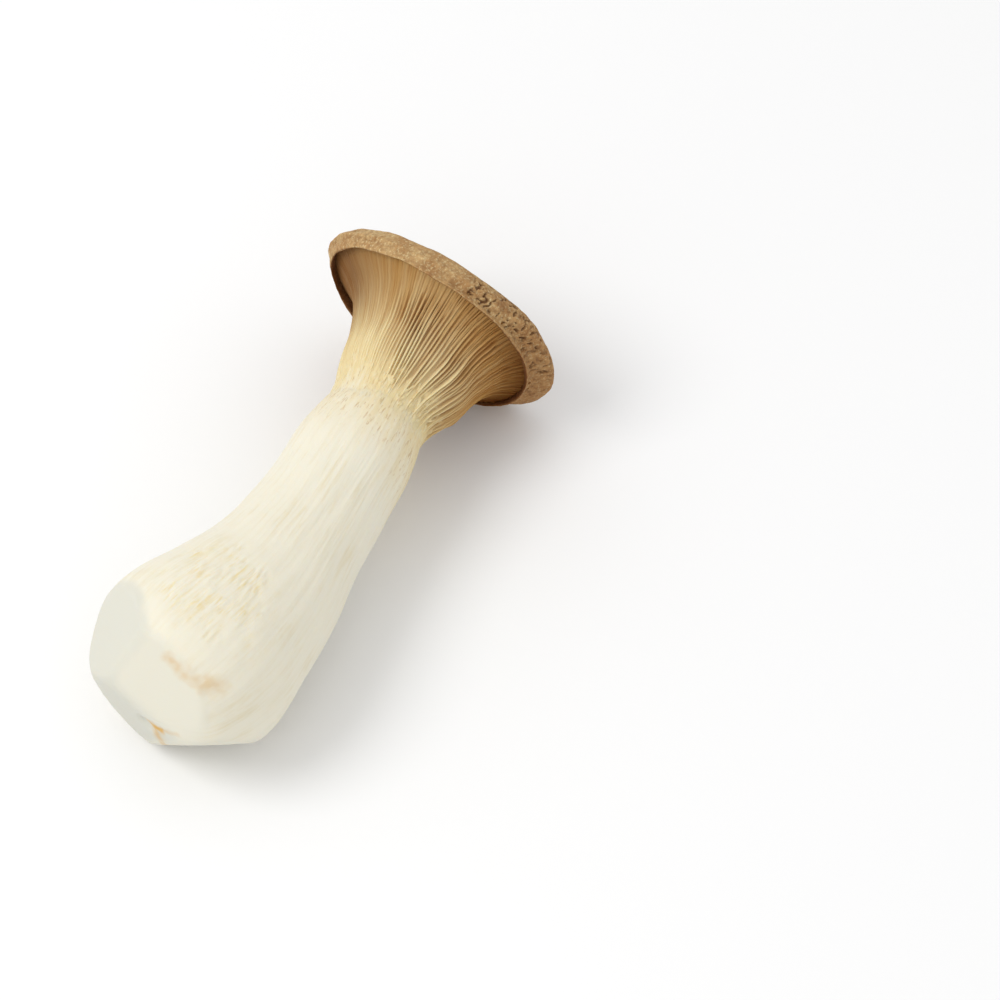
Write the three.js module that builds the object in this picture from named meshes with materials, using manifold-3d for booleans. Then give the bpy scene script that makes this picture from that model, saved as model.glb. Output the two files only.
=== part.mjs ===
// A king oyster mushroom as picked, lying on its side: one solid with a trimmed foot, a thick stem, gills
// that run down the stem, and a shallow cap with a rolled margin.
// Millimetres, +Z up, stem along X with the cap towards +X. It rests on z = 0 on two small flat spots, one
// under the foot and one under the cap's margin. The origin is the middle of its bounding box, at z = 0.
import * as THREE from "three";
import { mergeVertices } from "three/addons/utils/BufferGeometryUtils.js";
import Module from "manifold-3d";

const wasm = await Module();
wasm.setup();
const { degToRad, lerp, smoothstep } = THREE.MathUtils;

// Driving dimensions. "Along" is measured on the middle line, from the foot's end to the crown.
const FOOT_RADIUS = 24.1;
const FOOT_ALONG = 24; // the foot's thickest place
const NECK_RADIUS = 12.4;
const NECK_ALONG = 101; // the stem's thinnest place, where the gills start
const FLARE_ALONG = 118; // from here the gills spread out under the cap
const CREASE_RADIUS = 27.9; // the gills meet the rolled margin
const CREASE_ALONG = 126;
const MARGIN_RADIUS = 29.8; // the cap's widest place
const MARGIN_ALONG = 130;
const LIP = 0.8; // how far the margin hangs past the crease
const CROWN_ALONG = 142;

const GILLS = 72;
const COLUMNS = 2 * GILLS; // a crest and a valley for each gill
const GILL_DEPTH = 1.3;
const GILL_RISE = 0.3; // share of the way to the crease that a gill takes to rise to its full height
const LATEST_LONG_GILL = 0.3; // shares of that way where the last long gill and the short gills start
const FIRST_SHORT_GILL = 0.15;
const LATEST_SHORT_GILL = 0.5;
const GILL_RUN_OUT = 0.86; // share of that way where all gills start to sink towards the crease
const STEM_ROWS = 16;
const GILL_ROWS = 12;
const MARGIN_ROWS = 7;
const CROWN_ROWS = 6;

// The stem is a little out of round in two ways that turn slowly along it.
const STEM_OVAL = 0.012;
const STEM_LOBES = 0.01;
const STEM_OVAL_TURN = 0.03;
const STEM_LOBES_TURN = -0.05;

// The cap isn't round, and its margin hangs lowest on the side that faces up.
const CAP_STRETCH = 0.05;
const CAP_STRETCH_ANGLE = degToRad(23);
const MARGIN_HANG = 7.5;
const MARGIN_HANG_ANGLE = degToRad(110);
const MARGIN_WAVE = 1.2;
const MARGIN_WAVE_ANGLE = degToRad(86);

// The margin swells out into lobes: the share of the radius and the angle of each. The higher the power, the
// narrower they are.
const LOBES = [
  { share: 0.08, angle: degToRad(223) },
  { share: 0.045, angle: degToRad(12) },
];
const LOBE_POWER = 14;

// The flare leans to one side and is fuller on one side. Near there the margin is rolled in further, and the
// crease lies nearer to the crown at one angle than opposite to it.
const FLARE_LEAN = 0.02;
const FLARE_LEAN_ANGLE = degToRad(195);
const FLARE_FILL = 0.18;
const FLARE_FILL_ANGLE = degToRad(138);
const MARGIN_ROLL = 0.12;
const MARGIN_ROLL_ANGLE = degToRad(210);
const CREASE_SKEW = 2.6;
const CREASE_SKEW_ANGLE = degToRad(50);

// The middle line's heights over the floor, which leave flat spots about half a millimetre deep.
const FOOT_HEIGHT = 23.5;
const CAP_HEIGHT = 27.6;

// Knife cuts that trimmed the foot: the way each faces, and its distance from the foot's middle.
const CUTS = [
  { faces: [-0.925, 0.173, 0.343], reach: 22.6 },
  { faces: [-0.947, 0.283, -0.163], reach: 23.2 },
  { faces: [-0.538, 0.708, 0.457], reach: 23.2 },
  { faces: [-0.725, -0.402, -0.559], reach: 22.8 },
];

// A number from 0 to 1 that looks random, and is the same on every run.
function chance(index, salt) {
  const wave = Math.sin(index * 127.1 + salt * 311.7) * 43758.5453;
  return wave - Math.floor(wave);
}

// The outline from the foot's end to the crown: a list of rows, each with its place along the middle line,
// its radius, the way its surface faces, and on the gills its share of the way from the flare to the crease.
function outlineRows() {
  const point = (radius, along) => new THREE.Vector2(radius, along);
  const stem = new THREE.SplineCurve([
    point(0, 0),
    point(18.1, 3),
    point(23.5, 12),
    point(FOOT_RADIUS, FOOT_ALONG),
    point(21.7, 35),
    point(18.8, 47),
    point(16, 62),
    point(14.8, 76),
    point(14.6, 88),
    point(NECK_RADIUS, NECK_ALONG),
  ]);
  const flare = new THREE.SplineCurve([
    point(NECK_RADIUS, NECK_ALONG),
    point(15, 110),
    point(16.8, FLARE_ALONG),
    point(20.6, 122.6),
    point(CREASE_RADIUS, CREASE_ALONG),
  ]);
  const margin = new THREE.SplineCurve([
    point(CREASE_RADIUS, CREASE_ALONG),
    point(CREASE_RADIUS + 0.5, CREASE_ALONG - LIP),
    point(MARGIN_RADIUS - 0.5, CREASE_ALONG - LIP + 1),
    point(MARGIN_RADIUS, MARGIN_ALONG),
    point(MARGIN_RADIUS - 2, MARGIN_ALONG + 3.8),
  ]);
  const crown = new THREE.CubicBezierCurve(
    point(MARGIN_RADIUS - 2, MARGIN_ALONG + 3.8),
    point(MARGIN_RADIUS * 0.77, CROWN_ALONG - 5),
    point(MARGIN_RADIUS * 0.4, CROWN_ALONG),
    point(0, CROWN_ALONG),
  );
  const rows = [];
  const add = (curve, count, start, onGills) => {
    for (let i = start; i <= count; i++) {
      const share = i / count;
      const place = curve.getPoint(share);
      const ahead = curve.getTangent(share);
      rows.push({
        along: place.y,
        radius: place.x,
        facesAlong: -ahead.x,
        facesOut: ahead.y,
        gillShare: onGills ? share : undefined,
      });
    }
  };
  add(stem, STEM_ROWS, 0, false);
  add(flare, GILL_ROWS, 1, true);
  add(margin, MARGIN_ROWS, 1, false);
  add(crown, CROWN_ROWS, 1, false);
  return rows;
}

// The middle line, nearly straight from the cap to the foot, which turns to +Y. The crease is at X = 0.
const middle = new THREE.CatmullRomCurve3([
  new THREE.Vector3(-125.4, 10.4, FOOT_HEIGHT),
  new THREE.Vector3(-101.4, 4.9, FOOT_HEIGHT),
  new THREE.Vector3(-80.4, 1.2, FOOT_HEIGHT - 0.4),
  new THREE.Vector3(-54.4, -0.1, FOOT_HEIGHT + 0.4),
  new THREE.Vector3(-27.4, -0.3, CAP_HEIGHT - 1.2),
  new THREE.Vector3(0, 0, CAP_HEIGHT),
  new THREE.Vector3(16, -0.6, CAP_HEIGHT + 0.7),
]);
const UP = new THREE.Vector3(0, 0, 1);

function stationAt(along) {
  const share = along / CROWN_ALONG;
  const centre = middle.getPointAt(share);
  const forward = middle.getTangentAt(share);
  const side = UP.clone().cross(forward).normalize();
  const up = forward.clone().cross(side);
  return { centre, forward, side, up };
}

// How far a gill's crest stands above the valleys, from 0 to 1, at a share of the way to the crease. Every
// second gill is a short one. All of them run out at the crease.
function gillHeight(gill, share) {
  const isShort = gill % 2 === 1;
  const start = isShort
    ? lerp(FIRST_SHORT_GILL, LATEST_SHORT_GILL, chance(gill, 1))
    : LATEST_LONG_GILL * chance(gill, 2);
  const rise = smoothstep(share, start, start + GILL_RISE);
  const runOut = smoothstep(share, GILL_RUN_OUT, 1);
  return rise * (1 - 0.75 * runOut);
}

const onCap = (along) => smoothstep(along, FLARE_ALONG - 2, CREASE_ALONG);
const onFlare = (along) =>
  smoothstep(along, NECK_ALONG, FLARE_ALONG - 4) * (1 - smoothstep(along, CREASE_ALONG - 5, CREASE_ALONG + 1));
const atCrease = (along) =>
  smoothstep(along, FLARE_ALONG, CREASE_ALONG) * (1 - smoothstep(along, CREASE_ALONG, MARGIN_ALONG + 1));

const onMargin = (along) => smoothstep(along, CREASE_ALONG - 2, MARGIN_ALONG);

// 1 at an angle round the mushroom and 0 opposite to it.
const nearness = (angle, middle) => (1 + Math.cos(angle - middle)) / 2;

// The share that the radius gains or loses round the stem, which isn't quite round, and round the cap.
function unevenness(along, angle) {
  const oval = STEM_OVAL * Math.sin(2 * angle + STEM_OVAL_TURN * along);
  const lobes = STEM_LOBES * Math.sin(3 * angle + 1.3 + STEM_LOBES_TURN * along);
  const cap = CAP_STRETCH * Math.cos(2 * (angle - CAP_STRETCH_ANGLE));
  const lean = FLARE_LEAN * Math.cos(angle - FLARE_LEAN_ANGLE);
  const fill = FLARE_FILL * nearness(angle, FLARE_FILL_ANGLE) ** 3;
  const roll = MARGIN_ROLL * nearness(angle, MARGIN_ROLL_ANGLE) ** 2;
  const plain = lerp(oval + lobes, cap, onCap(along));
  const swell = LOBES.reduce((sum, lobe) => sum + lobe.share * nearness(angle, lobe.angle) ** LOBE_POWER, 0);
  const outward = (lean + fill) * onFlare(along) + swell * onMargin(along);
  return plain + outward - roll * atCrease(along);
}

// How far the cap's underside and margin are set back towards the crown.
function setBack(along, angle) {
  const hang = (MARGIN_HANG * (1 - Math.cos(angle - MARGIN_HANG_ANGLE))) / 2;
  const wave = MARGIN_WAVE * Math.cos(2 * (angle - MARGIN_WAVE_ANGLE));
  const fromCrown = 1 - smoothstep(along, MARGIN_ALONG, CROWN_ALONG);
  const skew = CREASE_SKEW * Math.cos(angle - CREASE_SKEW_ANGLE);
  return onCap(along) * fromCrown * (hang - wave) + atCrease(along) * skew;
}

function mushroomSurface() {
  const rows = outlineRows();
  const lathe = new THREE.LatheGeometry(
    rows.map((row) => new THREE.Vector2(row.radius, row.along)),
    COLUMNS,
  );
  const position = lathe.getAttribute("position");
  const stations = rows.map((row) => stationAt(row.along));
  for (let column = 0; column <= COLUMNS; column++) {
    const place = column % COLUMNS;
    const angle = (place / COLUMNS) * 2 * Math.PI;
    const isCrest = place % 2 === 0;
    rows.forEach((row, i) => {
      const onGill = isCrest && row.gillShare !== undefined;
      const relief = onGill ? GILL_DEPTH * gillHeight(place / 2, row.gillShare) : 0;
      const radius = row.radius * (1 + unevenness(row.along, angle)) + relief * row.facesOut;
      const ahead = relief * row.facesAlong + setBack(row.along, angle);
      const { centre, forward, side, up } = stations[i];
      const point = centre
        .clone()
        .addScaledVector(side, radius * Math.cos(angle))
        .addScaledVector(up, radius * Math.sin(angle))
        .addScaledVector(forward, ahead);
      position.setXYZ(column * rows.length + i, point.x, point.y, point.z);
    });
  }
  return lathe;
}

function solidFrom(geometry) {
  const bare = geometry.clone();
  bare.deleteAttribute("normal");
  bare.deleteAttribute("uv");
  const merged = mergeVertices(bare, 1e-4);
  return new wasm.Manifold(
    new wasm.Mesh({
      numProp: 3,
      vertProperties: merged.getAttribute("position").array,
      triVerts: new Uint32Array(merged.index.array),
    }),
  );
}

function geometryFrom(solid) {
  const mesh = solid.getMesh();
  return new THREE.BufferGeometry()
    .setAttribute("position", new THREE.BufferAttribute(mesh.vertProperties, 3))
    .setIndex(new THREE.BufferAttribute(mesh.triVerts, 1));
}

// A block that fills the space beyond a flat face which passes through a point and faces a direction.
function blockBeyond(point, faces) {
  const size = 400;
  const turn = new THREE.Quaternion().setFromUnitVectors(UP, faces);
  const block = new THREE.BoxGeometry(size, size, size).translate(0, 0, size / 2);
  return solidFrom(block.applyQuaternion(turn).translate(point.x, point.y, point.z));
}

function trimmedFoot(solid) {
  const { centre } = stationAt(FOOT_ALONG);
  return CUTS.reduce((left, cut) => {
    const faces = new THREE.Vector3(...cut.faces).normalize();
    const point = centre.clone().addScaledVector(faces, cut.reach);
    return left.subtract(blockBeyond(point, faces));
  }, solid);
}

// The floor's space is cut away, which leaves the flat spots.
function restedOnFloor(solid) {
  return solid.subtract(blockBeyond(new THREE.Vector3(), new THREE.Vector3(0, 0, -1)));
}

const geometry = geometryFrom(restedOnFloor(trimmedFoot(solidFrom(mushroomSurface()))));
geometry.computeBoundingBox();
const { min, max } = geometry.boundingBox;
geometry.translate(-(min.x + max.x) / 2, -(min.y + max.y) / 2, -min.z);

const flesh = new THREE.MeshStandardMaterial({ color: 0xefe6cf, roughness: 0.75, metalness: 0 });
const mushroom = new THREE.Mesh(geometry, flesh);
mushroom.name = "mushroom";

const part = new THREE.Group();
part.add(mushroom);

export default part;
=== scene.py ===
# A king oyster mushroom lying on its side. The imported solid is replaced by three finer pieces, which grow into
# one another: the stem with its trimmed foot, the gills that run down it, and the cap with its rolled margin.
# Sizes in the functions are in millimetres unless a name says otherwise.
import bisect
import math

import bmesh
import bpy
from bpy.props import FloatProperty, FloatVectorProperty, IntProperty, PointerProperty
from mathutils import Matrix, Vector, noise


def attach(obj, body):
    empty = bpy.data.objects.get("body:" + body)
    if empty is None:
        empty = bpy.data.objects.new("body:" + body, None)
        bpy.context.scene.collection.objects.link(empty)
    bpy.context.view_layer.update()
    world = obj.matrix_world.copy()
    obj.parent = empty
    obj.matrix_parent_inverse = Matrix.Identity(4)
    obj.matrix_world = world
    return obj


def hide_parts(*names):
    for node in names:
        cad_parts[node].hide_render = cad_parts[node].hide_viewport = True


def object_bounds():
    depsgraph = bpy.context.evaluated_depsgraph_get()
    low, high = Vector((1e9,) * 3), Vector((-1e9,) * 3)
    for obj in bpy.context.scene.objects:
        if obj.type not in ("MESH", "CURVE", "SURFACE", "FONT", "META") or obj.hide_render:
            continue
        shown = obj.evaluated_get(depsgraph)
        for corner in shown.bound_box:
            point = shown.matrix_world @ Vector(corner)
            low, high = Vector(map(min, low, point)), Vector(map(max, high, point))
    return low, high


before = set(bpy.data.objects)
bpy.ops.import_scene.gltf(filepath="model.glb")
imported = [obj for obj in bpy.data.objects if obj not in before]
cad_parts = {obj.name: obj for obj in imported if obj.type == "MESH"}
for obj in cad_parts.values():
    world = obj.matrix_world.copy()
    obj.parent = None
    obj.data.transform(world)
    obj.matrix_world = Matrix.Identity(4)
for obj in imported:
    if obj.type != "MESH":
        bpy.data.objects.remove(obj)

bl_info = {
    "name": "King Oyster Mushroom",
    "version": (1, 0, 0),
    "blender": (4, 5, 0),
    "location": "View3D > Sidebar > Mushroom",
    "description": "Builds a king oyster mushroom on a pale floor",
    "category": "Add Mesh",
}

CAD_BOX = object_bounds()
MM = 0.001

# The form, with the crease between gills and margin at X = 0. "Along" is measured on the middle line.
FOOT_ALONG = 24
GILLS_ALONG = 93  # where the longest gills start
NECK_ALONG = 101
NECK_SOFTNESS = 3.5
FLARE_ALONG = 118
CREASE_ALONG = 126
MARGIN_ALONG = 130
CROWN_ALONG = 142
CREASE_PLACE = Vector((55.28, -0.53, 0))  # of the crease's middle in the frame, in X and Y
MIDDLE_LINE = [
    Vector((-125.4, 10.4, 23.5)),
    Vector((-101.4, 4.9, 23.5)),
    Vector((-80.4, 1.2, 23.1)),
    Vector((-54.4, -0.1, 23.9)),
    Vector((-27.4, -0.3, 26.4)),
    Vector((0, 0, 27.6)),
    Vector((16, -0.6, 28.3)),
]
# The knife cuts on the foot: the way each faces, its distance from the foot's middle, and how much greyer it is
# painted, partly the cut flesh's own colour and partly painted shade on the facets turned from the light.
CUTS = [
    (Vector((-0.925, 0.173, 0.343)).normalized(), 22.6, 0.4),
    (Vector((-0.947, 0.283, -0.163)).normalized(), 23.2, 1.0),
    (Vector((-0.538, 0.708, 0.457)).normalized(), 23.2, 0.85),
    (Vector((-0.725, -0.402, -0.559)).normalized(), 22.8, 0.35),
]
CUT_SOFTNESS = 0.8
# Bruises on the foot: where each starts and ends, from the foot's middle, its width and its strength.
BRUISES = [
    (Vector((-16.9, -0.8, 19.3)), Vector((-17.9, -4.2, 18.3)), 2.6, 0.42),
    (Vector((-17.9, -4.2, 18.3)), Vector((-19.1, -8.5, 17.1)), 3.4, 0.36),
    (Vector((-18.6, -9.5, 16.9)), Vector((-15.8, -14.0, 15.1)), 3.4, 0.4),
    (Vector((-22.7, 2.6, -2.1)), Vector((-23.5, -1.8, -1.3)), 2.0, 1.0),
    (Vector((-23.5, -1.8, -1.3)), Vector((-23.8, -6.5, 1.0)), 1.3, 0.4),
    (Vector((-23.1, 0.2, -4.0)), Vector((-22.3, -1.5, -13.5)), 3.4, 0.6),
]
BRUISES_TO = 34  # how far along the stem they reach
NOTCH = Vector((-22.6, 3.4, -4.2))  # a nick in the foot's edge, from the foot's middle, its radius and its depth
NOTCH_RADIUS = 3.6
NOTCH_DEPTH = 1.3
TORN_ALONG = 28  # the middle of the patch of torn fibres, and half its length and width
TORN_HALF = 16
TORN_ANGLE = math.radians(93)
TORN_HALF_ANGLE = math.radians(42)
STEM_OVAL = 0.012
STEM_LOBES = 0.01
CAP_STRETCH = 0.05
CAP_STRETCH_ANGLE = math.radians(23)
LOBES = [(0.08, 223), (0.05, 357)]  # the margin swells out: the share of the radius, and the angle in degrees
LOBE_POWER = 14
FLARE_LEAN = 0.02
FLARE_LEAN_ANGLE = math.radians(195)
FLARE_FILL = 0.18  # the flare is straighter on one side
FLARE_FILL_ANGLE = 138
MARGIN_ROLL = 0.12  # the margin is rolled in further on one side
MARGIN_ROLL_ANGLE = 210
CREASE_SKEW = 2.6  # the crease lies nearer to the crown at this angle, and further from it opposite
CREASE_SKEW_ANGLE = math.radians(50)
MARGIN_HANG = 7.5
MARGIN_HANG_ANGLE = math.radians(110)
MARGIN_WAVE = 1.2
MARGIN_WAVE_ANGLE = math.radians(86)
RECESS = 0.9  # how far the gills' outer ends lie behind the margin's lip
BROWN_FROM = 78
BROWN_TO = 136
FIBRE_RADIUS = 15  # the fibres' pattern is drawn as if on a cylinder of this radius


def smoothstep(low, high, value):
    """0 at low and 1 at high, with a soft start and end."""
    t = min(max((value - low) / (high - low), 0.0), 1.0)
    return t * t * (3 - 2 * t)


def mix(start, end, share):
    return start + (end - start) * share


def chance(index, salt):
    """A number from 0 to 1 that looks random, and is the same on every run."""
    return math.modf(abs(math.sin(index * 127.1 + salt * 311.7)) * 43758.5453)[0]


def srgb(red, green, blue):
    """A colour given as on a screen, from 0 to 255, in Blender's linear values."""
    linear = [((c / 255 + 0.055) / 1.055) ** 2.4 if c > 10 else c / 3295 for c in (red, green, blue)]
    return (*linear, 1.0)


# Properties

class MushroomSizes(bpy.types.PropertyGroup):
    """Sizes of the mushroom"""

    foot_radius: FloatProperty(
        name="Foot radius", description="Radius of the swollen foot", default=24.1 * MM, unit="LENGTH"
    )
    neck_radius: FloatProperty(
        name="Neck radius", description="Radius where the gills start", default=12.4 * MM, unit="LENGTH"
    )
    crease_radius: FloatProperty(
        name="Crease radius", description="Radius where the gills meet the margin", default=27.9 * MM, unit="LENGTH"
    )
    margin_radius: FloatProperty(
        name="Margin radius", description="Mean radius of the cap", default=29.8 * MM, unit="LENGTH"
    )
    lip: FloatProperty(
        name="Lip", description="How far the margin hangs past the crease", default=1.1 * MM, unit="LENGTH"
    )
    gill_height: FloatProperty(
        name="Gill height", description="Height of the gills over the plain surface", default=0.85 * MM, unit="LENGTH"
    )
    gill_valley: FloatProperty(
        name="Gill valley", description="Depth between gills under the plain surface", default=0.4 * MM, unit="LENGTH"
    )
    gills: IntProperty(name="Gills", description="How many gills reach the stem", default=120, min=20, max=160)


class MushroomColours(bpy.types.PropertyGroup):
    """Colours of the mushroom"""

    flesh: FloatVectorProperty(
        name="Flesh", description="Colour of the stem", subtype="COLOR", size=4, default=srgb(226, 221, 203)
    )
    fibre: FloatVectorProperty(
        name="Fibre", description="Colour of the stem's darker fibres", subtype="COLOR", size=4,
        default=srgb(214, 200, 162),
    )
    cut_flesh: FloatVectorProperty(
        name="Cut flesh", description="Colour of the knife cuts", subtype="COLOR", size=4,
        default=srgb(204, 203, 191),
    )
    bruise: FloatVectorProperty(
        name="Bruise", description="Colour of bruises on the foot", subtype="COLOR", size=4,
        default=srgb(206, 164, 90),
    )
    torn: FloatVectorProperty(
        name="Torn fibre", description="Colour between torn fibres", subtype="COLOR", size=4,
        default=srgb(222, 204, 154),
    )
    gill_edge: FloatVectorProperty(
        name="Gill edge", description="Colour of the gills' edges", subtype="COLOR", size=4,
        default=srgb(220, 202, 156),
    )
    gill_rim: FloatVectorProperty(
        name="Gill ends", description="Colour of the gills' edges near the margin", subtype="COLOR", size=4,
        default=srgb(175, 134, 76),
    )
    # Painted shade between the gills, also used for the fine dark streaks on them.
    painted_valley_shade: FloatVectorProperty(
        name="Gill depth", description="Colour between the gills", subtype="COLOR", size=4,
        default=srgb(146, 90, 30),
    )
    # Painted shade deep under the margin, in the crease and on the lip's inside, darker than the gills' own brown.
    painted_gill_shade: FloatVectorProperty(
        name="Gill shade", description="Colour deep under the margin", subtype="COLOR", size=4,
        default=srgb(92, 46, 10),
    )
    cap: FloatVectorProperty(
        name="Cap", description="Colour of the cap's skin", subtype="COLOR", size=4, default=srgb(190, 157, 109)
    )
    cap_top: FloatVectorProperty(
        name="Cap top", description="Colour of the skin on the crown", subtype="COLOR", size=4,
        default=srgb(172, 145, 110),
    )
    cap_stain: FloatVectorProperty(
        name="Cap stains", description="Colour of the skin's stains, and of its older side", subtype="COLOR", size=4,
        default=srgb(147, 98, 52),
    )
    cap_dark: FloatVectorProperty(
        name="Cap marks", description="Colour of the cap's pits and scratches", subtype="COLOR", size=4,
        default=srgb(94, 58, 32),
    )


class MushroomStage(bpy.types.PropertyGroup):
    """The camera's place and view"""

    azimuth: FloatProperty(
        name="Azimuth", description="Where the camera stands round the mushroom", default=math.radians(-59),
        subtype="ANGLE",
    )
    elevation: FloatProperty(
        name="Elevation", description="Height angle of the camera", default=math.radians(54.25), subtype="ANGLE"
    )
    distance: FloatProperty(
        name="Distance", description="From the camera to the mushroom", default=1.08, unit="LENGTH"
    )
    view_width: FloatProperty(
        name="View width", description="Width that the picture covers", default=0.2382, unit="LENGTH"
    )
    view_side: FloatProperty(
        name="View side", description="How far right of the mushroom the camera looks", default=0.0439,
        unit="LENGTH",
    )
    view_down: FloatProperty(
        name="View down", description="How far below the mushroom the camera looks", default=0.0027, unit="LENGTH"
    )


# The mushroom's form

def through(points, share):
    """A place on the smooth curve through some points."""
    span = share * (len(points) - 1)
    index = min(int(span), len(points) - 2)
    t = span - index
    start, end = points[index], points[index + 1]
    leave = (end - points[max(index - 1, 0)]) / 2
    arrive = (points[min(index + 2, len(points) - 1)] - start) / 2
    cubic = 2 * start - 2 * end + leave + arrive
    square = 3 * end - 3 * start - 2 * leave - arrive
    return ((cubic * t + square) * t + leave) * t + start


def bezier(points, share):
    """A place on the curve from the first of four points to the last, drawn towards the other two."""
    while len(points) > 1:
        points = [start.lerp(end, share) for start, end in zip(points, points[1:])]
    return points[0]


def sampled(curve, points, count=300):
    return [curve(points, i / count) for i in range(count + 1)]


class Path:
    """Close places joined in order, read by the length travelled along them."""

    def __init__(self, places):
        self.places = places
        self.lengths = [0.0]
        for start, end in zip(places, places[1:]):
            self.lengths.append(self.lengths[-1] + (end - start).length)
        self.length = self.lengths[-1]

    def place(self, travelled):
        index = min(max(bisect.bisect_right(self.lengths, travelled) - 1, 0), len(self.places) - 2)
        share = (travelled - self.lengths[index]) / (self.lengths[index + 1] - self.lengths[index])
        return self.places[index].lerp(self.places[index + 1], share)

    def heading(self, travelled):
        return (self.place(travelled + 0.2) - self.place(travelled - 0.2)).normalized()


MIDDLE = Path(sampled(through, MIDDLE_LINE, 400))


def station(along):
    """The middle at a place along, and the directions forward, to the side and up."""
    travelled = along / CROWN_ALONG * MIDDLE.length
    forward = MIDDLE.heading(travelled)
    side = Vector((0, 0, 1)).cross(forward).normalized()
    return MIDDLE.place(travelled), forward, side, forward.cross(side)


FOOT_MIDDLE = station(FOOT_ALONG)[0]


class Row:
    """One ring of the mushroom: its place on the outline, the way it faces, and its middle and directions."""

    def __init__(self, place, out, travelled, share):
        self.along = place.x
        self.radius = max(place.y, 0.0)
        self.out = out
        self.travelled = travelled
        self.share = share
        self.middle, self.forward, self.side, self.up = station(self.along)
        self.on_cap = smoothstep(FLARE_ALONG - 2, CREASE_ALONG, self.along)
        self.on_flare = smoothstep(NECK_ALONG, FLARE_ALONG - 4, self.along)
        self.on_flare *= 1 - smoothstep(CREASE_ALONG - 5, CREASE_ALONG + 1, self.along)
        self.off_crown = 1 - smoothstep(MARGIN_ALONG, CROWN_ALONG, self.along)
        self.on_margin = smoothstep(CREASE_ALONG - 2, MARGIN_ALONG, self.along)
        self.at_crease = smoothstep(FLARE_ALONG, CREASE_ALONG, self.along)
        self.at_crease *= 1 - smoothstep(CREASE_ALONG, MARGIN_ALONG + 1, self.along)


def rows_on(path, spacing, begin=0.0):
    """Rows on a path of (along, radius) places. spacing gives their distance at a place, begin the first one's."""
    steps = [0.0]
    while steps[-1] < path.length:
        steps.append(steps[-1] + spacing(path.place(steps[-1])))
    rows = []
    for step in steps:
        travelled = path.length * step / steps[-1]
        heading = path.heading(travelled)
        out = Vector((-heading.y, heading.x))
        rows.append(Row(path.place(travelled), out, begin + travelled, travelled / path.length))
    return rows


def lower_outline(sizes):
    """The (along, radius) places of the stem and the flare under the cap, from the foot to the crease."""
    foot, neck, crease = sizes.foot_radius / MM, sizes.neck_radius / MM, sizes.crease_radius / MM
    stem = zip(
        [0, 3, 12, FOOT_ALONG, 35, 47, 62, 76, 88, NECK_ALONG],
        [0, 18.1, 23.5, foot, 21.7, 18.8, 16, 14.8, 14.6, neck],
    )
    flare = zip([NECK_ALONG, 110, FLARE_ALONG, 122.6, CREASE_ALONG], [neck, 15, 16.8, 20.6, crease])
    places = sampled(through, [Vector(pair) for pair in stem])
    places += sampled(through, [Vector(pair) for pair in flare])[1:]
    return [Vector((place.x, softened(places, place))) for place in places]


def softened(places, place):
    """The radius at a place, averaged over its neighbours close to the neck, which rounds the corner there."""
    share = 1 - smoothstep(NECK_SOFTNESS, 2 * NECK_SOFTNESS, abs(place.x - NECK_ALONG))
    if share == 0:
        return place.y
    near = [other.y for other in places if abs(other.x - place.x) < NECK_SOFTNESS]
    return mix(place.y, sum(near) / len(near), share)


def margin_outline(sizes):
    crease, margin, lip = sizes.crease_radius / MM, sizes.margin_radius / MM, sizes.lip / MM
    return [
        Vector((CREASE_ALONG + 2, crease - 0.4)),
        Vector((CREASE_ALONG - lip + 0.1, crease + 0.2)),
        Vector((CREASE_ALONG - lip + 0.4, crease + 0.9)),
        Vector((CREASE_ALONG + 1.2, margin - 0.45)),
        Vector((MARGIN_ALONG, margin)),
        Vector((MARGIN_ALONG + 3.8, margin - 2)),
    ]


def crown_outline(sizes):
    margin = sizes.margin_radius / MM
    return [
        Vector((MARGIN_ALONG + 3.8, margin - 2)),
        Vector((CROWN_ALONG - 5, margin * 0.77)),
        Vector((CROWN_ALONG, margin * 0.4)),
        Vector((CROWN_ALONG, 0)),
    ]


def unevenness(row, angle):
    """The share that the radius gains or loses at an angle round the stem or the cap."""
    stem = STEM_OVAL * math.sin(2 * angle + 0.03 * row.along)
    stem += STEM_LOBES * math.sin(3 * angle + 1.3 - 0.05 * row.along)
    cap = CAP_STRETCH * math.cos(2 * (angle - CAP_STRETCH_ANGLE))
    flare = FLARE_LEAN * math.cos(angle - FLARE_LEAN_ANGLE) + FLARE_FILL * nearness(angle, FLARE_FILL_ANGLE) ** 3
    swell = sum(share * nearness(angle, middle) ** LOBE_POWER for share, middle in LOBES)
    roll = MARGIN_ROLL * nearness(angle, MARGIN_ROLL_ANGLE) ** 2
    outward = flare * row.on_flare + swell * row.on_margin
    return mix(stem, cap, row.on_cap) + outward - roll * row.at_crease


def set_back(row, angle):
    """How far the cap's underside and margin are set back towards the crown."""
    hang = MARGIN_HANG * (1 - math.cos(angle - MARGIN_HANG_ANGLE)) / 2
    wave = MARGIN_WAVE * math.cos(2 * (angle - MARGIN_WAVE_ANGLE))
    skew = CREASE_SKEW * math.cos(angle - CREASE_SKEW_ANGLE)
    return row.on_cap * row.off_crown * (hang - wave) + row.at_crease * skew


def placed(row, angle, lift, ahead=0.0):
    """The point at an angle round a row, raised by lift from the plain surface and moved ahead."""
    radius = row.radius * (1 + unevenness(row, angle)) + lift * row.out.y
    ahead += lift * row.out.x + set_back(row, angle)
    across = row.side * (radius * math.cos(angle)) + row.up * (radius * math.sin(angle))
    return row.middle + across + row.forward * ahead


def fibre_place(row, angle):
    """Where a point is on the straightened mushroom, where every fibre runs along X."""
    return Vector((row.travelled, FIBRE_RADIUS * math.cos(angle), FIBRE_RADIUS * math.sin(angle)))


def nearness(angle, middle):
    """1 at an angle round the mushroom and 0 opposite to it."""
    return (1 + math.cos(angle - math.radians(middle))) / 2


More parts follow.
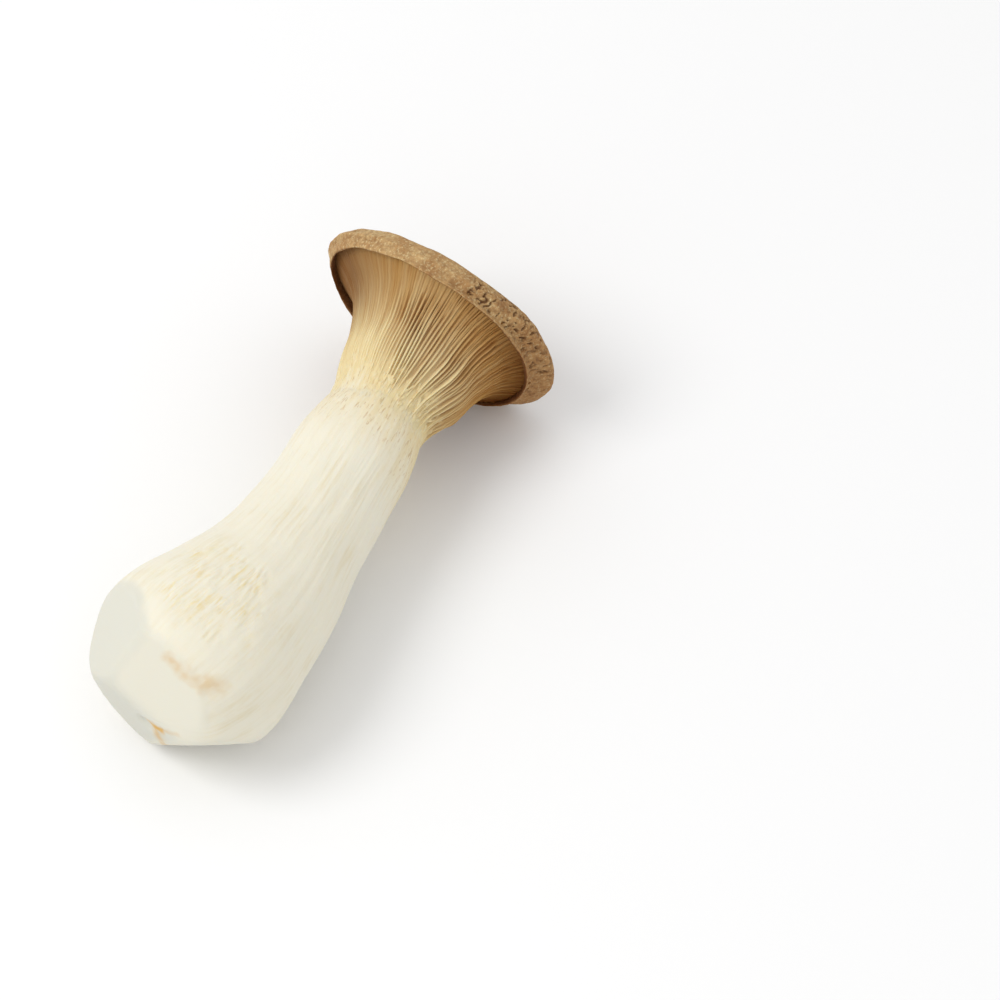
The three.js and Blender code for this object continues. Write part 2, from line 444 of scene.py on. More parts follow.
def browning(row, angle):
    """How brown the flesh has turned, from 0 on the stem to 1 at the cap's margin."""
    spot = fibre_place(row, angle)
    ragged = 5 * noise.noise(Vector((row.along / 14, spot.y / 1.6, spot.z / 1.6)))
    ragged += 5 * noise.noise(Vector((row.along / 30, spot.y / 7, spot.z / 7)))
    early = 13 * nearness(angle, 222) ** 4 - 3 * nearness(angle, 40) ** 2
    return smoothstep(BROWN_FROM, BROWN_TO, row.along + ragged + early)


def trimmed(point):
    """Presses a point behind the knife cuts. Returns the point, how cut it is, and how much greyer it is painted,
    partly the cut flesh's own colour and partly painted shade, both 0 to 1.
    """
    cut = grey = 0.0
    for faces, reach, greyness_and_shade in CUTS + CUTS:
        over = (point - FOOT_MIDDLE).dot(faces) - reach
        own = smoothstep(-2.4, 0.4, over + 0.8 * noise.noise(point / 5))
        cut = max(cut, own)
        grey = mix(grey, greyness_and_shade, own)
        point = point - faces * ((over + math.hypot(over, CUT_SOFTNESS)) / 2)
    return point, cut, grey


# Meshes

def rolled(rows, columns, form):
    """A grid rolled up round the mushroom. form gives a point's place, and the values that its materials read."""
    bm = bmesh.new()
    bmesh.ops.create_grid(bm, x_segments=columns, y_segments=len(rows) - 1, size=0.5)
    layers = {name: bm.verts.layers.float.new(name) for name in form(rows[0], 0.0)[1]}
    fibre_layer = bm.verts.layers.float_vector.new("fibre_place")
    uv = bm.loops.layers.uv.new("OFBake")
    for face in bm.faces:
        face.smooth = True
        for loop in face.loops:
            loop[uv].uv = (loop.vert.co.x + 0.5, loop.vert.co.y + 0.5)
    for vert in bm.verts:
        row = rows[round((vert.co.y + 0.5) * (len(rows) - 1))]
        angle = (vert.co.x + 0.5) * 2 * math.pi
        place, values = form(row, angle)
        vert.co = (place + CREASE_PLACE) * MM
        vert[fibre_layer] = fibre_place(row, angle)
        for name, value in values.items():
            vert[layers[name]] = value
    bmesh.ops.remove_doubles(bm, verts=bm.verts, dist=0.001 * MM)
    bmesh.ops.recalc_face_normals(bm, faces=bm.faces)
    return bm


def grown_piece(name, bm, material):
    """A finished piece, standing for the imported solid."""
    mesh = bpy.data.meshes.new(name)
    bm.to_mesh(mesh)
    bm.free()
    piece = bpy.data.objects.new(name, mesh)
    bpy.context.scene.collection.objects.link(piece)
    mesh.materials.append(material)
    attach(piece, "root")
    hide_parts("mushroom")
    return piece


# The stem

def stem_rows(sizes):
    """Rows from the foot's end to the cap's inside. Under the gills the stem is sunk a little."""
    places = [place for place in lower_outline(sizes) if place.x < FLARE_ALONG]
    for place in places:
        place.y -= 1.8 * smoothstep(NECK_ALONG - 2, NECK_ALONG + 6, place.x)
    places.append(Vector((FLARE_ALONG + 2, 0)))
    return rows_on(Path(places), lambda place: 0.62)


def torn(row, angle):
    """How torn the fibres are at a place, from 0 to 1."""
    off_along = (row.along - TORN_ALONG) / TORN_HALF
    off_angle = math.remainder(angle - TORN_ANGLE, 2 * math.pi) / TORN_HALF_ANGLE
    ragged = 0.45 * noise.noise(Vector((row.along / 5, angle * 4, 0)))
    return 1 - smoothstep(0.55, 1.0, math.hypot(off_along, off_angle) + ragged)


def stem_relief(row, angle):
    """Slow lumps, long grooves and fine fibres."""
    spot = fibre_place(row, angle)
    lumps = 0.5 * noise.noise(spot / 17)
    grooves = 0.22 * noise.noise(Vector((spot.x / 34, spot.y / 2.6, spot.z / 2.6)))
    fibres = 0.09 * noise.noise(Vector((spot.x / 9, spot.y / 0.8, spot.z / 0.8)))
    return lumps + grooves + fibres


def bruise(from_foot):
    """How bruised the foot is at a place given from its middle, from 0 to 1."""
    rag = 1.0 + 0.35 * noise.noise(from_foot / 1.3) + 0.5 * noise.noise(from_foot / 3)
    most = 0.0
    for start, end, width, strength in BRUISES:
        share = min(max((from_foot - start).dot(end - start) / (end - start).length_squared, 0.0), 1.0)
        off = (from_foot - start.lerp(end, share)).length
        most = max(most, strength * (1 - smoothstep(0.0, 1.0, off / (width * rag))))
    return most * mix(0.65, 1.15, smoothstep(-0.3, 0.3, noise.noise(from_foot / 1.6 + Vector((5, 0, 0)))))


def stem_form(row, angle):
    """The stem's surface, with the knife cuts and bruises on its foot."""
    spot = fibre_place(row, angle)
    tear = torn(row, angle)
    warp = 1.2 * noise.noise(spot / 5)
    flakes = noise.noise(Vector((spot.x / 5, spot.y / 0.9 + warp, spot.z / 0.9 - warp)))
    flakes = tear * (0.5 * abs(flakes) - 0.3)
    from_pole = smoothstep(0, 6, row.radius)
    lift = (stem_relief(row, angle) + flakes) * from_pole
    point, cut, grey = trimmed(placed(row, angle, lift))
    nicked = 1 - smoothstep(0, 1, (point - FOOT_MIDDLE - NOTCH).length / NOTCH_RADIUS)
    point -= NOTCH.normalized() * (NOTCH_DEPTH * nicked)
    point.z = max(point.z, 0.0)
    values = {
        "cut": cut,
        # How much greyer the cuts are painted: partly their own colour, partly painted shade on the facets turned
        # from the light.
        "grey": grey,
        "bruised": bruise(point - FOOT_MIDDLE) if row.along < BRUISES_TO else 0.0,
        "torn": tear,
        "browning": browning(row, angle),
    }
    return point, values


# The gills

def gill_rows(sizes):
    """Rows over the gills' outside, then back through the inside to the start, where they close."""
    outline = lower_outline(sizes)
    before = [place for place in outline if place.x <= GILLS_ALONG]
    path = Path([*outline[len(before) - 1:], outline[-1] + Vector((0.9, 0.9))])
    outer = rows_on(path, lambda place: 0.42, Path(before).length)
    inside = [Vector((CREASE_ALONG + 2.2, 27)), Vector((CREASE_ALONG - 4, 14)), Vector((GILLS_ALONG + 4, 10))]
    inner = [Row(place, Vector((0, 0)), path.length, 1.0) for place in inside]
    return [*outer, *inner, outer[0]]


def ridge(across, half_width):
    """The height of a ridge, from 1 on its middle to 0 past its sides."""
    return 1 - smoothstep(half_width * 0.35, half_width, across)


def gill_form(sizes):
    count = sizes.gills
    height, valley = sizes.gill_height / MM, sizes.gill_valley / MM

    def start_of(gill):
        """The share of the way to the margin at which a gill rises. Every second one runs far down the stem."""
        if gill % 2 == 0:
            return mix(0.06, 0.22, chance(gill, 2))
        return mix(0.15, 0.42, chance(gill, 4))

    starts = [start_of(gill) for gill in range(count)]
    short_starts = [mix(0.5, 0.8, chance(gill, 5)) for gill in range(count)]
    heights = [mix(0.5, 1.0, chance(gill, 6)) for gill in range(count)]
    shifts = [mix(-0.14, 0.14, chance(gill, 7)) for gill in range(count)]

    def form(row, angle):
        brown = browning(row, angle)
        if row.out.length == 0:
            return placed(row, angle, 0.0), {"valley": 1.0, "browning": brown, "reach": 1.0, "shaded": 1.0}
        spot = fibre_place(row, angle)
        share = row.share
        wander = 0.55 * noise.noise(Vector((spot.x / 13, spot.y / 2.2, spot.z / 2.2))) * (1 - 0.6 * share)
        turn = angle / (2 * math.pi) * count + wander
        gill = math.floor(turn + 0.5)
        own = gill % count
        across = abs(turn - gill - shifts[own])
        rise = smoothstep(starts[own], starts[own] + 0.2, share)
        main = rise * ridge(across, 0.38) * heights[own]
        between = math.floor(turn)
        short_rise = smoothstep(short_starts[between % count], short_starts[between % count] + 0.1, share)
        short = 0.6 * short_rise * ridge(abs(turn - between - 0.5), 0.22)
        web = smoothstep(0.1, 0.35, noise.noise(Vector((spot.x / 1.4, spot.y / 1.1, spot.z / 1.1))))
        web *= smoothstep(0.04, 0.12, share) * (1 - smoothstep(0.22, 0.42, share))
        crest = max(main, short, 0.75 * web)
        patchy = mix(0.65, 1.1, smoothstep(-0.35, 0.35, noise.noise(spot / 8 + Vector((9, 0, 0)))))
        strength = patchy * mix(0.35, 1.25, smoothstep(0.3, 0.8, nearness(angle, 175)))
        strength *= (1 - 0.4 * smoothstep(0.65, 0.95, share)) * smoothstep(0.08, 0.36, share)
        surfacing = mix(-0.12, 0.03, smoothstep(0.0, 0.2, share))
        lift = crest * (height + valley) * strength - valley * strength + surfacing
        lift += stem_relief(row, angle) * (1 - smoothstep(0.1, 0.5, share))
        recess = RECESS * smoothstep(0.82, 1.0, share) * mix(0.35, 1.0, nearness(angle, 10))
        # shaded: painted shade under the margin, weakest round 100 degrees, the side turned up to the light, and
        # strongest round 240 degrees, with a painted dark line along the crease.
        left = nearness(angle, 20) ** 2
        under = smoothstep(mix(0.6, 0.5, left), mix(1.0, 0.82, left), share)
        shaded = 0.75 * under * min(1.0, 0.12 + 2.6 * (1 - nearness(angle, 100)))
        shaded += 0.25 * smoothstep(0.5, 0.8, share) * nearness(angle, 240) ** 4
        shaded = max(shaded, smoothstep(0.92, 0.985, share) * mix(0.9, 0.4, nearness(angle, 100)))
        # valley: how much painted shade lies between the gills.
        values = {"valley": (1 - crest) * min(strength, 1.0), "browning": brown, "reach": share, "shaded": shaded}
        return placed(row, angle, lift, recess), values

    return form


# The cap

def cap_rows(sizes):
    """Rows from the cap's inside, round the rolled margin and over the crown to its middle."""
    crease = sizes.crease_radius / MM
    places = [Vector((CREASE_ALONG + 6, 0)), Vector((CREASE_ALONG + 5, crease - 1.2))]
    places += sampled(through, margin_outline(sizes))
    places += sampled(bezier, crown_outline(sizes))[1:]

    def spacing(place):
        if place.x < CREASE_ALONG + 6.1 and place.y < crease - 1.3:
            return 5.0
        return 0.27 if place.x < MARGIN_ALONG + 4 else 0.36

    return rows_on(Path(places), spacing)


def pits(spot, angle):
    """How deep the skin is pitted at a spot, from 0 to 1. The pits lie in patches, most of them on one side."""
    patch = smoothstep(0.1, 0.5, noise.noise(spot / 6) + 1.9 * nearness(angle, 150) ** 4 - 0.9)
    bent = spot + 1.6 * noise.noise_vector(spot / 2)
    large = smoothstep(0.24, 0.38, noise.noise(Vector((bent.x / 1.9, bent.y / 1.0, bent.z / 1.0))))
    small = smoothstep(0.2, 0.5, noise.noise(bent / 0.5))
    return max(patch * large, 0.4 * small * smoothstep(-0.2, 0.3, noise.noise(spot / 6)))


def cap_form(row, angle):
    plain = placed(row, angle, 0.0)
    on_skin = smoothstep(CREASE_ALONG - 0.5, CREASE_ALONG + 1.5, row.along) * smoothstep(20, 26, row.radius)
    pitted = pits(plain, angle) * on_skin * row.off_crown
    # lip: the inside of the rolled lip, where the crease is painted dark as shade.
    lip = 1 - smoothstep(-0.6, 0.3, row.out.y) if row.along < MARGIN_ALONG else 0.0
    swell = 0.4 * noise.noise(plain / 9) + 0.16 * noise.noise(plain / 2.4)
    lift = swell * smoothstep(2, 8, row.radius) - 0.6 * pitted
    point = placed(row, angle, lift)
    point.z = max(point.z, 0.0)
    values = {
        "pitted": pitted,
        "lip": lip,
        "crown": 1 - smoothstep(6, 30, row.radius) if row.along > MARGIN_ALONG else 0.0,
        # The skin is browner on the side round 215 degrees, with more dark specks and fewer pale ones.
        "older": nearness(angle, 215) ** 2,
    }
    return point, values


# Materials

class Nodes:
    """Short ways to add and join a material's or a group's nodes."""

    def __init__(self, tree):
        self.tree = tree

    def add(self, kind, **settings):
        node = self.tree.nodes.new(kind)
        for key, value in settings.items():
            setattr(node, key, value)
        return node

    def join(self, source, target):
        self.tree.links.new(source, target)

    def mix_colour(self, share, first, second, blend="MIX"):
        node = self.add("ShaderNodeMix", data_type="RGBA", blend_type=blend)
        for socket, value in ((node.inputs[0], share), (node.inputs[6], first), (node.inputs[7], second)):
            self.put(socket, value)
        return node.outputs[2]

    def math(self, operation, first, second=0.0, clamp=False):
        node = self.add("ShaderNodeMath", operation=operation, use_clamp=clamp)
        self.put(node.inputs[0], first)
        self.put(node.inputs[1], second)
        return node.outputs[0]

    def range(self, value, low, high, to_low=0.0, to_high=1.0):
        node = self.add("ShaderNodeMapRange", interpolation_type="SMOOTHSTEP")
        for socket, given in zip(node.inputs, (value, low, high, to_low, to_high)):
            self.put(socket, given)
        return node.outputs[0]

    def put(self, socket, value):
        if isinstance(value, bpy.types.NodeSocket):
            self.join(value, socket)
        else:
            socket.default_value = value

    def attribute(self, name):
        return self.add("ShaderNodeAttribute", attribute_name=name)


def group_with(name, inputs, outputs):
    """A new node group with sockets, its input and output nodes, and the helper for its nodes."""
    group = bpy.data.node_groups.new(name, "ShaderNodeTree")
    for kind, label, default in inputs:
        socket = group.interface.new_socket(label, in_out="INPUT", socket_type=kind)
        if default is not None:
            socket.default_value = default
    for kind, label in outputs:
        group.interface.new_socket(label, in_out="OUTPUT", socket_type=kind)
    nodes = Nodes(group)
    return group, nodes, nodes.add("NodeGroupInput"), nodes.add("NodeGroupOutput")


def fibre_group():
    """Streaks that run along X of the vector it is given."""
    group, nodes, given, result = group_with(
        "Fibres",
        [
            ("NodeSocketVector", "Vector", None),
            ("NodeSocketFloat", "Length", 12.0),
            ("NodeSocketFloat", "Width", 0.8),
        ],
        [("NodeSocketFloat", "Streaks"), ("NodeSocketFloat", "Height")],
    )
    parts = nodes.add("ShaderNodeSeparateXYZ")
    nodes.join(given.outputs["Vector"], parts.inputs[0])
    vector = nodes.add("ShaderNodeCombineXYZ")
    nodes.join(nodes.math("DIVIDE", parts.outputs["X"], given.outputs["Length"]), vector.inputs[0])
    nodes.join(nodes.math("DIVIDE", parts.outputs["Y"], given.outputs["Width"]), vector.inputs[1])
    nodes.join(nodes.math("DIVIDE", parts.outputs["Z"], given.outputs["Width"]), vector.inputs[2])
    grain = nodes.add("ShaderNodeTexNoise")
    grain.inputs["Scale"].default_value = 1.0
    grain.inputs["Detail"].default_value = 4.0
    grain.inputs["Roughness"].default_value = 0.6
    nodes.join(vector.outputs[0], grain.inputs["Vector"])
    nodes.join(nodes.range(grain.outputs["Fac"], 0.42, 0.72), result.inputs["Streaks"])
    nodes.join(grain.outputs["Fac"], result.inputs["Height"])
    return group


def mottle_group():
    """Cloudy patches."""
    group, nodes, given, result = group_with(
        "Mottle",
        [
            ("NodeSocketVector", "Vector", None),
            ("NodeSocketFloat", "Scale", 1.0),
            ("NodeSocketFloat", "Low", 0.4),
            ("NodeSocketFloat", "High", 0.65),
        ],
        [("NodeSocketFloat", "Mask"), ("NodeSocketFloat", "Height")],
    )
    clouds = nodes.add("ShaderNodeTexNoise")
    clouds.inputs["Detail"].default_value = 6.0
    clouds.inputs["Roughness"].default_value = 0.62
    nodes.join(given.outputs["Vector"], clouds.inputs["Vector"])
    nodes.join(given.outputs["Scale"], clouds.inputs["Scale"])
    mask = nodes.range(clouds.outputs["Fac"], given.outputs["Low"], given.outputs["High"])
    nodes.join(mask, result.inputs["Mask"])
    nodes.join(clouds.outputs["Fac"], result.inputs["Height"])
    return group


def group_named(name, make):
    return bpy.data.node_groups.get(name) or make()


def used(nodes, group, **values):
    """A node that uses a group. The names of the values are the group's sockets, in lower case with _ for a space."""
    node = nodes.add("ShaderNodeGroup", node_tree=group)
    for name, value in values.items():
        nodes.put(node.inputs[name.replace("_", " ").capitalize()], value)
    return node


def flesh_material(name, roughness, specular=0.3):
    """A material with the mushroom's soft translucency, its helper and its shader node."""
    material = bpy.data.materials.new(name)
    material.use_nodes = True
    nodes = Nodes(material.node_tree)
    shader = material.node_tree.nodes["Principled BSDF"]
    shader.inputs["Roughness"].default_value = roughness
    shader.inputs["Subsurface Weight"].default_value = 0.25
    shader.inputs["Subsurface Radius"].default_value = (1.0, 0.75, 0.5)
    shader.inputs["Subsurface Scale"].default_value = 2.0 * MM
    shader.inputs["Specular IOR Level"].default_value = specular
    return material, nodes, shader


def bumped(nodes, shader, height, distance, strength):
    bump = nodes.add("ShaderNodeBump")
    bump.inputs["Distance"].default_value = distance
    bump.inputs["Strength"].default_value = strength
    nodes.join(height, bump.inputs["Height"])
    nodes.join(bump.outputs[0], shader.inputs["Normal"])


def flesh_group(colours):
    """The stem's and the gills' flesh: cream with darker fibres, which turns tan and then brown."""
    group, nodes, given, result = group_with(
        "Flesh",
        [
            ("NodeSocketVector", "Fibre place", None),
            ("NodeSocketFloat", "Browning", 0.0),
            ("NodeSocketColor", "Flesh", tuple(colours.flesh)),
            ("NodeSocketColor", "Fibre", tuple(colours.fibre)),
            ("NodeSocketColor", "Tan", tuple(colours.gill_edge)),
            ("NodeSocketColor", "Brown", tuple(colours.gill_rim)),
        ],
        [("NodeSocketColor", "Color"), ("NodeSocketFloat", "Height")],
    )
    place = given.outputs["Fibre place"]
    brown = given.outputs["Browning"]
    streaks = used(nodes, group_named("Fibres", fibre_group), vector=place, length=14.0, width=1.0)
    clouds = used(nodes, group_named("Mottle", mottle_group), vector=place, scale=0.09, low=0.35, high=0.7)
    share = nodes.math("MULTIPLY", streaks.outputs["Streaks"], nodes.range(clouds.outputs["Mask"], 0, 1, 0.15, 0.55))
    colour = nodes.mix_colour(share, given.outputs["Flesh"], given.outputs["Fibre"])
    tan = nodes.math("MULTIPLY", brown, 2.8, clamp=True)
    colour = nodes.mix_colour(tan, colour, given.outputs["Tan"])
    colour = nodes.mix_colour(nodes.range(brown, 0.5, 1.0), colour, given.outputs["Brown"])
    dashes = used(nodes, group_named("Fibres", fibre_group), vector=place, length=2.6, width=0.55)
    net = used(nodes, group_named("Fibres", fibre_group), vector=place, length=1.8, width=0.8)
    where = nodes.math("MULTIPLY", nodes.range(brown, 0.02, 0.16), nodes.range(brown, 0.3, 0.6, 1.0, 0.0))
    pale = nodes.math("MULTIPLY", nodes.range(net.outputs["Height"], 0.5, 0.62), where)
    colour = nodes.mix_colour(nodes.math("MULTIPLY", pale, 0.35), colour, given.outputs["Flesh"])
    dash = nodes.math("MULTIPLY", nodes.range(dashes.outputs["Height"], 0.55, 0.66), where)
    colour = nodes.mix_colour(nodes.math("MULTIPLY", dash, 0.5), colour, given.outputs["Brown"])
    nodes.join(colour, result.inputs["Color"])
    nodes.join(streaks.outputs["Height"], result.inputs["Height"])
    return group


def stem_material(colours):
    material, nodes, shader = flesh_material("Stem flesh", 0.6)
    place = nodes.attribute("fibre_place").outputs["Vector"]
    brown = nodes.attribute("browning").outputs["Fac"]
    cut = nodes.attribute("cut").outputs["Fac"]
    grey = nodes.attribute("grey").outputs["Fac"]
    bruised = nodes.attribute("bruised").outputs["Fac"]
    flesh = used(nodes, group_named("Flesh", lambda: flesh_group(colours)), fibre_place=place, browning=brown)
    ripped = used(nodes, group_named("Fibres", fibre_group), vector=place, length=6.0, width=0.5)
    places = used(nodes, group_named("Mottle", mottle_group), vector=place, scale=0.22, low=0.42, high=0.6)
    rip = nodes.math("MULTIPLY", ripped.outputs["Streaks"], nodes.attribute("torn").outputs["Fac"])
    rip = nodes.math("MULTIPLY", rip, nodes.range(places.outputs["Mask"], 0.0, 1.0, 0.35, 1.0))
    colour = nodes.mix_colour(nodes.math("MULTIPLY", rip, 0.9), flesh.outputs["Color"], tuple(colours.torn))
    colour = nodes.mix_colour(nodes.math("MULTIPLY", cut, 0.9), colour, tuple(colours.flesh))
    # The cuts are painted greyer: partly the cut flesh's own colour, partly painted shade on the facets turned from
    # the light.
    colour = nodes.mix_colour(grey, colour, tuple(colours.cut_flesh))
    colour = nodes.mix_colour(bruised, colour, tuple(colours.bruise))
    nodes.join(colour, shader.inputs["Base Color"])
    height = nodes.math("MULTIPLY", flesh.outputs["Height"], nodes.range(cut, 0, 1, 1.0, 0.1))
    bumped(nodes, shader, height, 0.25 * MM, 0.5)
    return material


def gill_material(colours):
    material, nodes, shader = flesh_material("Gills", 0.8, 0.08)
    place = nodes.attribute("fibre_place").outputs["Vector"]
    valley = nodes.attribute("valley").outputs["Fac"]
    brown = nodes.attribute("browning").outputs["Fac"]
    reach = nodes.attribute("reach").outputs["Fac"]
    flesh = used(nodes, group_named("Flesh", lambda: flesh_group(colours)), fibre_place=place, browning=brown)
    fine = used(nodes, group_named("Fibres", fibre_group), vector=place, length=7.0, width=0.35)
    # Painted shade between the gills: tan where the flesh is pale, dark brown where it has browned.
    depth = nodes.mix_colour(nodes.range(brown, 0.25, 0.8), tuple(colours.gill_edge), tuple(colours.painted_valley_shade))
    shade = nodes.math("MULTIPLY", valley, nodes.range(reach, 0.05, 0.4, 0.0, 0.65))
    colour = nodes.mix_colour(shade, flesh.outputs["Color"], depth)
    # Fine dark streaks along the gills, in the colour of the painted shade between them, stronger towards the margin.
    tint = nodes.math("MULTIPLY", fine.outputs["Streaks"], nodes.range(reach, 0.3, 0.8, 0.0, 0.4))
    colour = nodes.mix_colour(tint, colour, tuple(colours.painted_valley_shade))
    # Painted shade under the margin and in the crease.
    shaded = nodes.attribute("shaded").outputs["Fac"]
    colour = nodes.mix_colour(shaded, colour, tuple(colours.painted_gill_shade))
    nodes.join(colour, shader.inputs["Base Color"])
    bumped(nodes, shader, fine.outputs["Height"], 0.2 * MM, 0.5)
    return material


def cap_material(colours):
    material, nodes, shader = flesh_material("Cap skin", 0.85, 0.15)
    place = nodes.add("ShaderNodeTexCoord").outputs["Object"]
    clouds = used(nodes, group_named("Mottle", mottle_group), vector=place, scale=160.0, low=0.38, high=0.66)
    suede = used(nodes, group_named("Mottle", mottle_group), vector=place, scale=900.0, low=0.35, high=0.7)
    specks = used(nodes, group_named("Mottle", mottle_group), vector=place, scale=1500.0, low=0.5, high=0.68)
    pitted = nodes.attribute("pitted").outputs["Fac"]
    crown = nodes.attribute("crown").outputs["Fac"]
    older = nodes.attribute("older").outputs["Fac"]
    colour = nodes.mix_colour(crown, tuple(colours.cap), tuple(colours.cap_top))
    # Browner on the side round 215 degrees.
    colour = nodes.mix_colour(nodes.math("MULTIPLY", older, 0.65), colour, tuple(colours.cap_stain))
    colour = nodes.mix_colour(nodes.math("MULTIPLY", clouds.outputs["Mask"], 0.5), colour, tuple(colours.cap_stain))
    colour = nodes.mix_colour(nodes.math("MULTIPLY", suede.outputs["Mask"], 0.4), colour, tuple(colours.cap_dark))
    light = nodes.math("MULTIPLY", specks.outputs["Mask"], nodes.range(older, 0.1, 0.7, 0.6, 0.3))
    light = nodes.math("MULTIPLY", light, nodes.range(crown, 0.0, 0.9, 1.0, 0.45))
    colour = nodes.mix_colour(light, colour, tuple(colours.gill_edge))
    blotches = used(nodes, group_named("Mottle", mottle_group), vector=place, scale=55.0, low=0.46, high=0.6)
    blotch = nodes.math("MULTIPLY", blotches.outputs["Mask"], nodes.range(crown, 0.3, 0.8, 0.0, 0.45))
    colour = nodes.mix_colour(blotch, colour, tuple(colours.cap_stain))
    edge = nodes.math("MULTIPLY", nodes.range(crown, 0.02, 0.2), nodes.range(crown, 0.2, 0.8, 0.25, 0.0))
    colour = nodes.mix_colour(edge, colour, tuple(colours.cap_dark))
    dark = used(nodes, group_named("Mottle", mottle_group), vector=place, scale=420.0, low=0.52, high=0.64)
    dark = nodes.math("MULTIPLY", dark.outputs["Mask"], nodes.range(older, 0.0, 0.6, 0.15, 0.5))
    colour = nodes.mix_colour(dark, colour, tuple(colours.cap_dark))
    colour = nodes.mix_colour(nodes.math("MULTIPLY", pitted, 0.85), colour, tuple(colours.cap_dark))
    # Painted shade on the inside of the lip, along the crease.
    lip = nodes.attribute("lip").outputs["Fac"]
    colour = nodes.mix_colour(nodes.math("MULTIPLY", lip, 0.8), colour, tuple(colours.painted_gill_shade))
    nodes.join(colour, shader.inputs["Base Color"])
    bumped(nodes, shader, suede.outputs["Height"], 0.3 * MM, 0.6)
    return material


# Operators

class MUSHROOM_OT_stem(bpy.types.Operator):
    """Add the stem with its trimmed foot"""

    bl_idname = "mushroom.stem"
    bl_label = "Stem"

    def execute(self, context):
        sizes, colours = context.scene.mushroom_sizes, context.scene.mushroom_colours
        material = stem_material(colours)
        grown_piece("stem", rolled(stem_rows(sizes), 400, stem_form), material)
        return {"FINISHED"}


class MUSHROOM_OT_gills(bpy.types.Operator):
    """Add the gills that run down the stem"""

    bl_idname = "mushroom.gills"
    bl_label = "Gills"

    def execute(self, context):
        sizes, colours = context.scene.mushroom_sizes, context.scene.mushroom_colours
        material = gill_material(colours)
        grown_piece("gills", rolled(gill_rows(sizes), 8 * sizes.gills, gill_form(sizes)), material)
        return {"FINISHED"}


class MUSHROOM_OT_cap(bpy.types.Operator):
    """Add the cap with its rolled margin"""

    bl_idname = "mushroom.cap"
    bl_label = "Cap"

    def execute(self, context):
        sizes, colours = context.scene.mushroom_sizes, context.scene.mushroom_colours
        material = cap_material(colours)
        grown_piece("cap", rolled(cap_rows(sizes), 640, cap_form), material)
        return {"FINISHED"}


class MUSHROOM_OT_stage(bpy.types.Operator):
    """Add the floor, the soft lights and the camera"""

    bl_idname = "mushroom.stage"
    bl_label = "Stage"

    def execute(self, context):
        stage = context.scene.mushroom_stage
        add_floor()
        add_lights()
        add_camera(stage)
        return {"FINISHED"}


def view_directions(stage):
    """The directions right, up and back towards the camera."""
    right = Vector((math.cos(stage.azimuth), math.sin(stage.azimuth), 0))
    flat = Vector((math.sin(stage.azimuth), -math.cos(stage.azimuth), 0))
    back = flat * math.cos(stage.elevation) + Vector((0, 0, math.sin(stage.elevation)))
    return right, back.cross(right), back


def add_camera(stage):
    right, up, back = view_directions(stage)
    low, high = (Vector(corner) for corner in CAD_BOX)
    place = (low + high) / 2 + back * stage.distance
    target = (low + high) / 2 + right * stage.view_side - up * stage.view_down
    data = bpy.data.cameras.new("camera")
    data.lens = data.sensor_width * stage.distance / stage.view_width
    data.clip_start = 0.05
    data.clip_end = 20
    camera = bpy.data.objects.new("camera", data)
    camera.location = place
    camera.rotation_euler = (place - target).to_track_quat("Z", "Y").to_euler()
    bpy.context.scene.collection.objects.link(camera)
    bpy.context.scene.camera = camera


def add_area_light(name, place, size, power):
    data = bpy.data.lights.new(name, "AREA")
    data.shape = "DISK"
    data.size = size
    data.energy = power
    light = bpy.data.objects.new(name, data)
    light.location = place
    light.rotation_euler = Vector(place).to_track_quat("Z", "Y").to_euler()
    bpy.context.scene.collection.objects.link(light)


def add_lights():
    add_area_light("key light", (-0.45, 0.5, 0.95), 0.6, 5)
    world = bpy.data.worlds.new("studio")
    world.use_nodes = True
    world.node_tree.nodes["Background"].inputs["Color"].default_value = (1, 1, 1, 1)
    world.node_tree.nodes["Background"].inputs["Strength"].default_value = 0.9
    bpy.context.scene.world = world
    bpy.context.scene.view_settings.view_transform = "Standard"


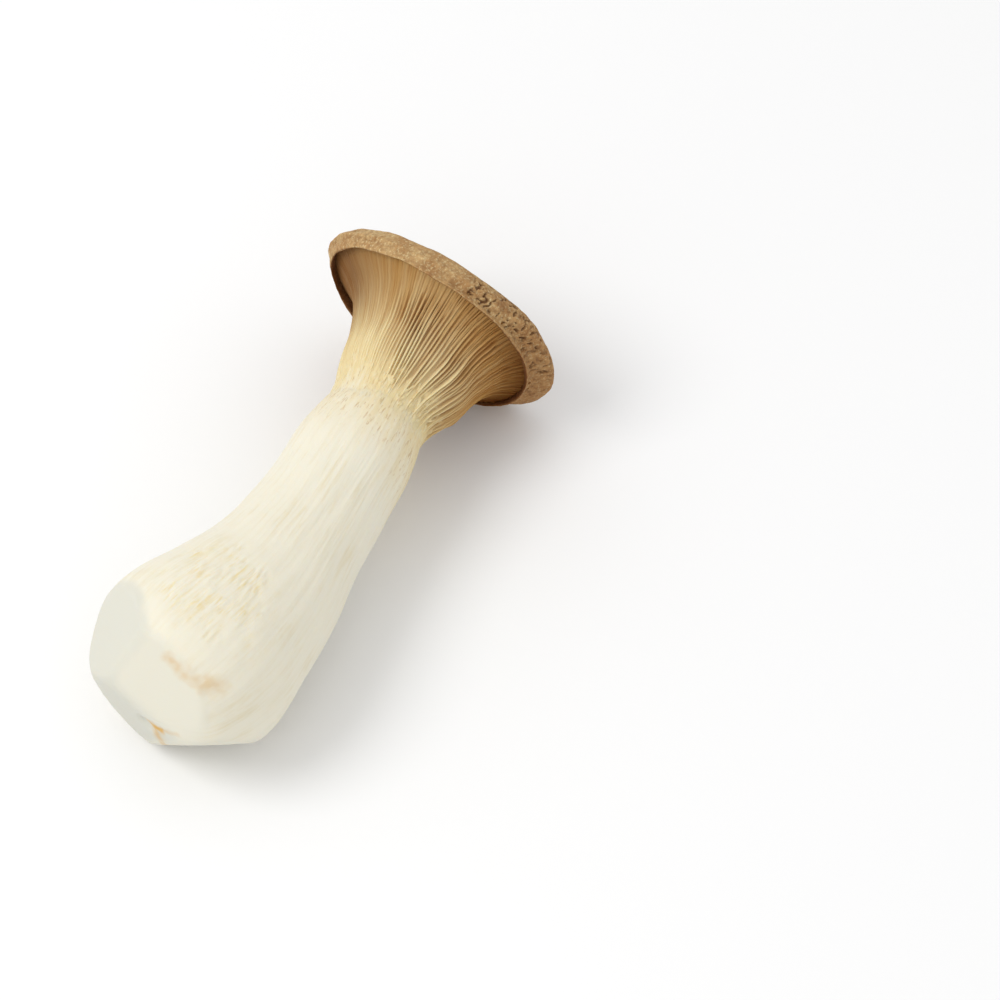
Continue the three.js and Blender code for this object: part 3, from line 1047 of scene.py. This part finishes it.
def add_floor():
    bm = bmesh.new()
    bmesh.ops.create_grid(bm, x_segments=1, y_segments=1, size=3.0)
    bmesh.ops.translate(bm, verts=bm.verts, vec=(0, 0, -0.05 * MM))
    mesh = bpy.data.meshes.new("floor")
    bm.to_mesh(mesh)
    bm.free()
    material = bpy.data.materials.new("Floor")
    material.use_nodes = True
    shader = material.node_tree.nodes["Principled BSDF"]
    shader.inputs["Base Color"].default_value = (0.86, 0.86, 0.86, 1)
    shader.inputs["Roughness"].default_value = 0.9
    mesh.materials.append(material)
    floor = bpy.data.objects.new("floor", mesh)
    bpy.context.scene.collection.objects.link(floor)


class MUSHROOM_PT_panel(bpy.types.Panel):
    """Lists the mushroom's pieces"""

    bl_label = "King Oyster Mushroom"
    bl_idname = "MUSHROOM_PT_panel"
    bl_space_type = "VIEW_3D"
    bl_region_type = "UI"
    bl_category = "Mushroom"

    def draw(self, context):
        for operator in OPERATORS:
            self.layout.operator(operator.bl_idname)
        for settings in (context.scene.mushroom_sizes, context.scene.mushroom_colours, context.scene.mushroom_stage):
            for name in settings.__annotations__:
                self.layout.prop(settings, name)


OPERATORS = (MUSHROOM_OT_stem, MUSHROOM_OT_gills, MUSHROOM_OT_cap, MUSHROOM_OT_stage)
SETTINGS = (MushroomSizes, MushroomColours, MushroomStage)


def register():
    for cls in (*SETTINGS, *OPERATORS, MUSHROOM_PT_panel):
        bpy.utils.register_class(cls)
    bpy.types.Scene.mushroom_sizes = PointerProperty(type=MushroomSizes)
    bpy.types.Scene.mushroom_colours = PointerProperty(type=MushroomColours)
    bpy.types.Scene.mushroom_stage = PointerProperty(type=MushroomStage)


def unregister():
    del bpy.types.Scene.mushroom_stage
    del bpy.types.Scene.mushroom_colours
    del bpy.types.Scene.mushroom_sizes
    for cls in reversed((*SETTINGS, *OPERATORS, MUSHROOM_PT_panel)):
        bpy.utils.unregister_class(cls)


def write_sizes():
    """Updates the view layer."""
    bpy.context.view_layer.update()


def main():
    register()
    bpy.ops.mushroom.stem()
    bpy.ops.mushroom.gills()
    bpy.ops.mushroom.cap()
    bpy.ops.mushroom.stage()
    write_sizes()


if __name__ == "__main__":
    main()
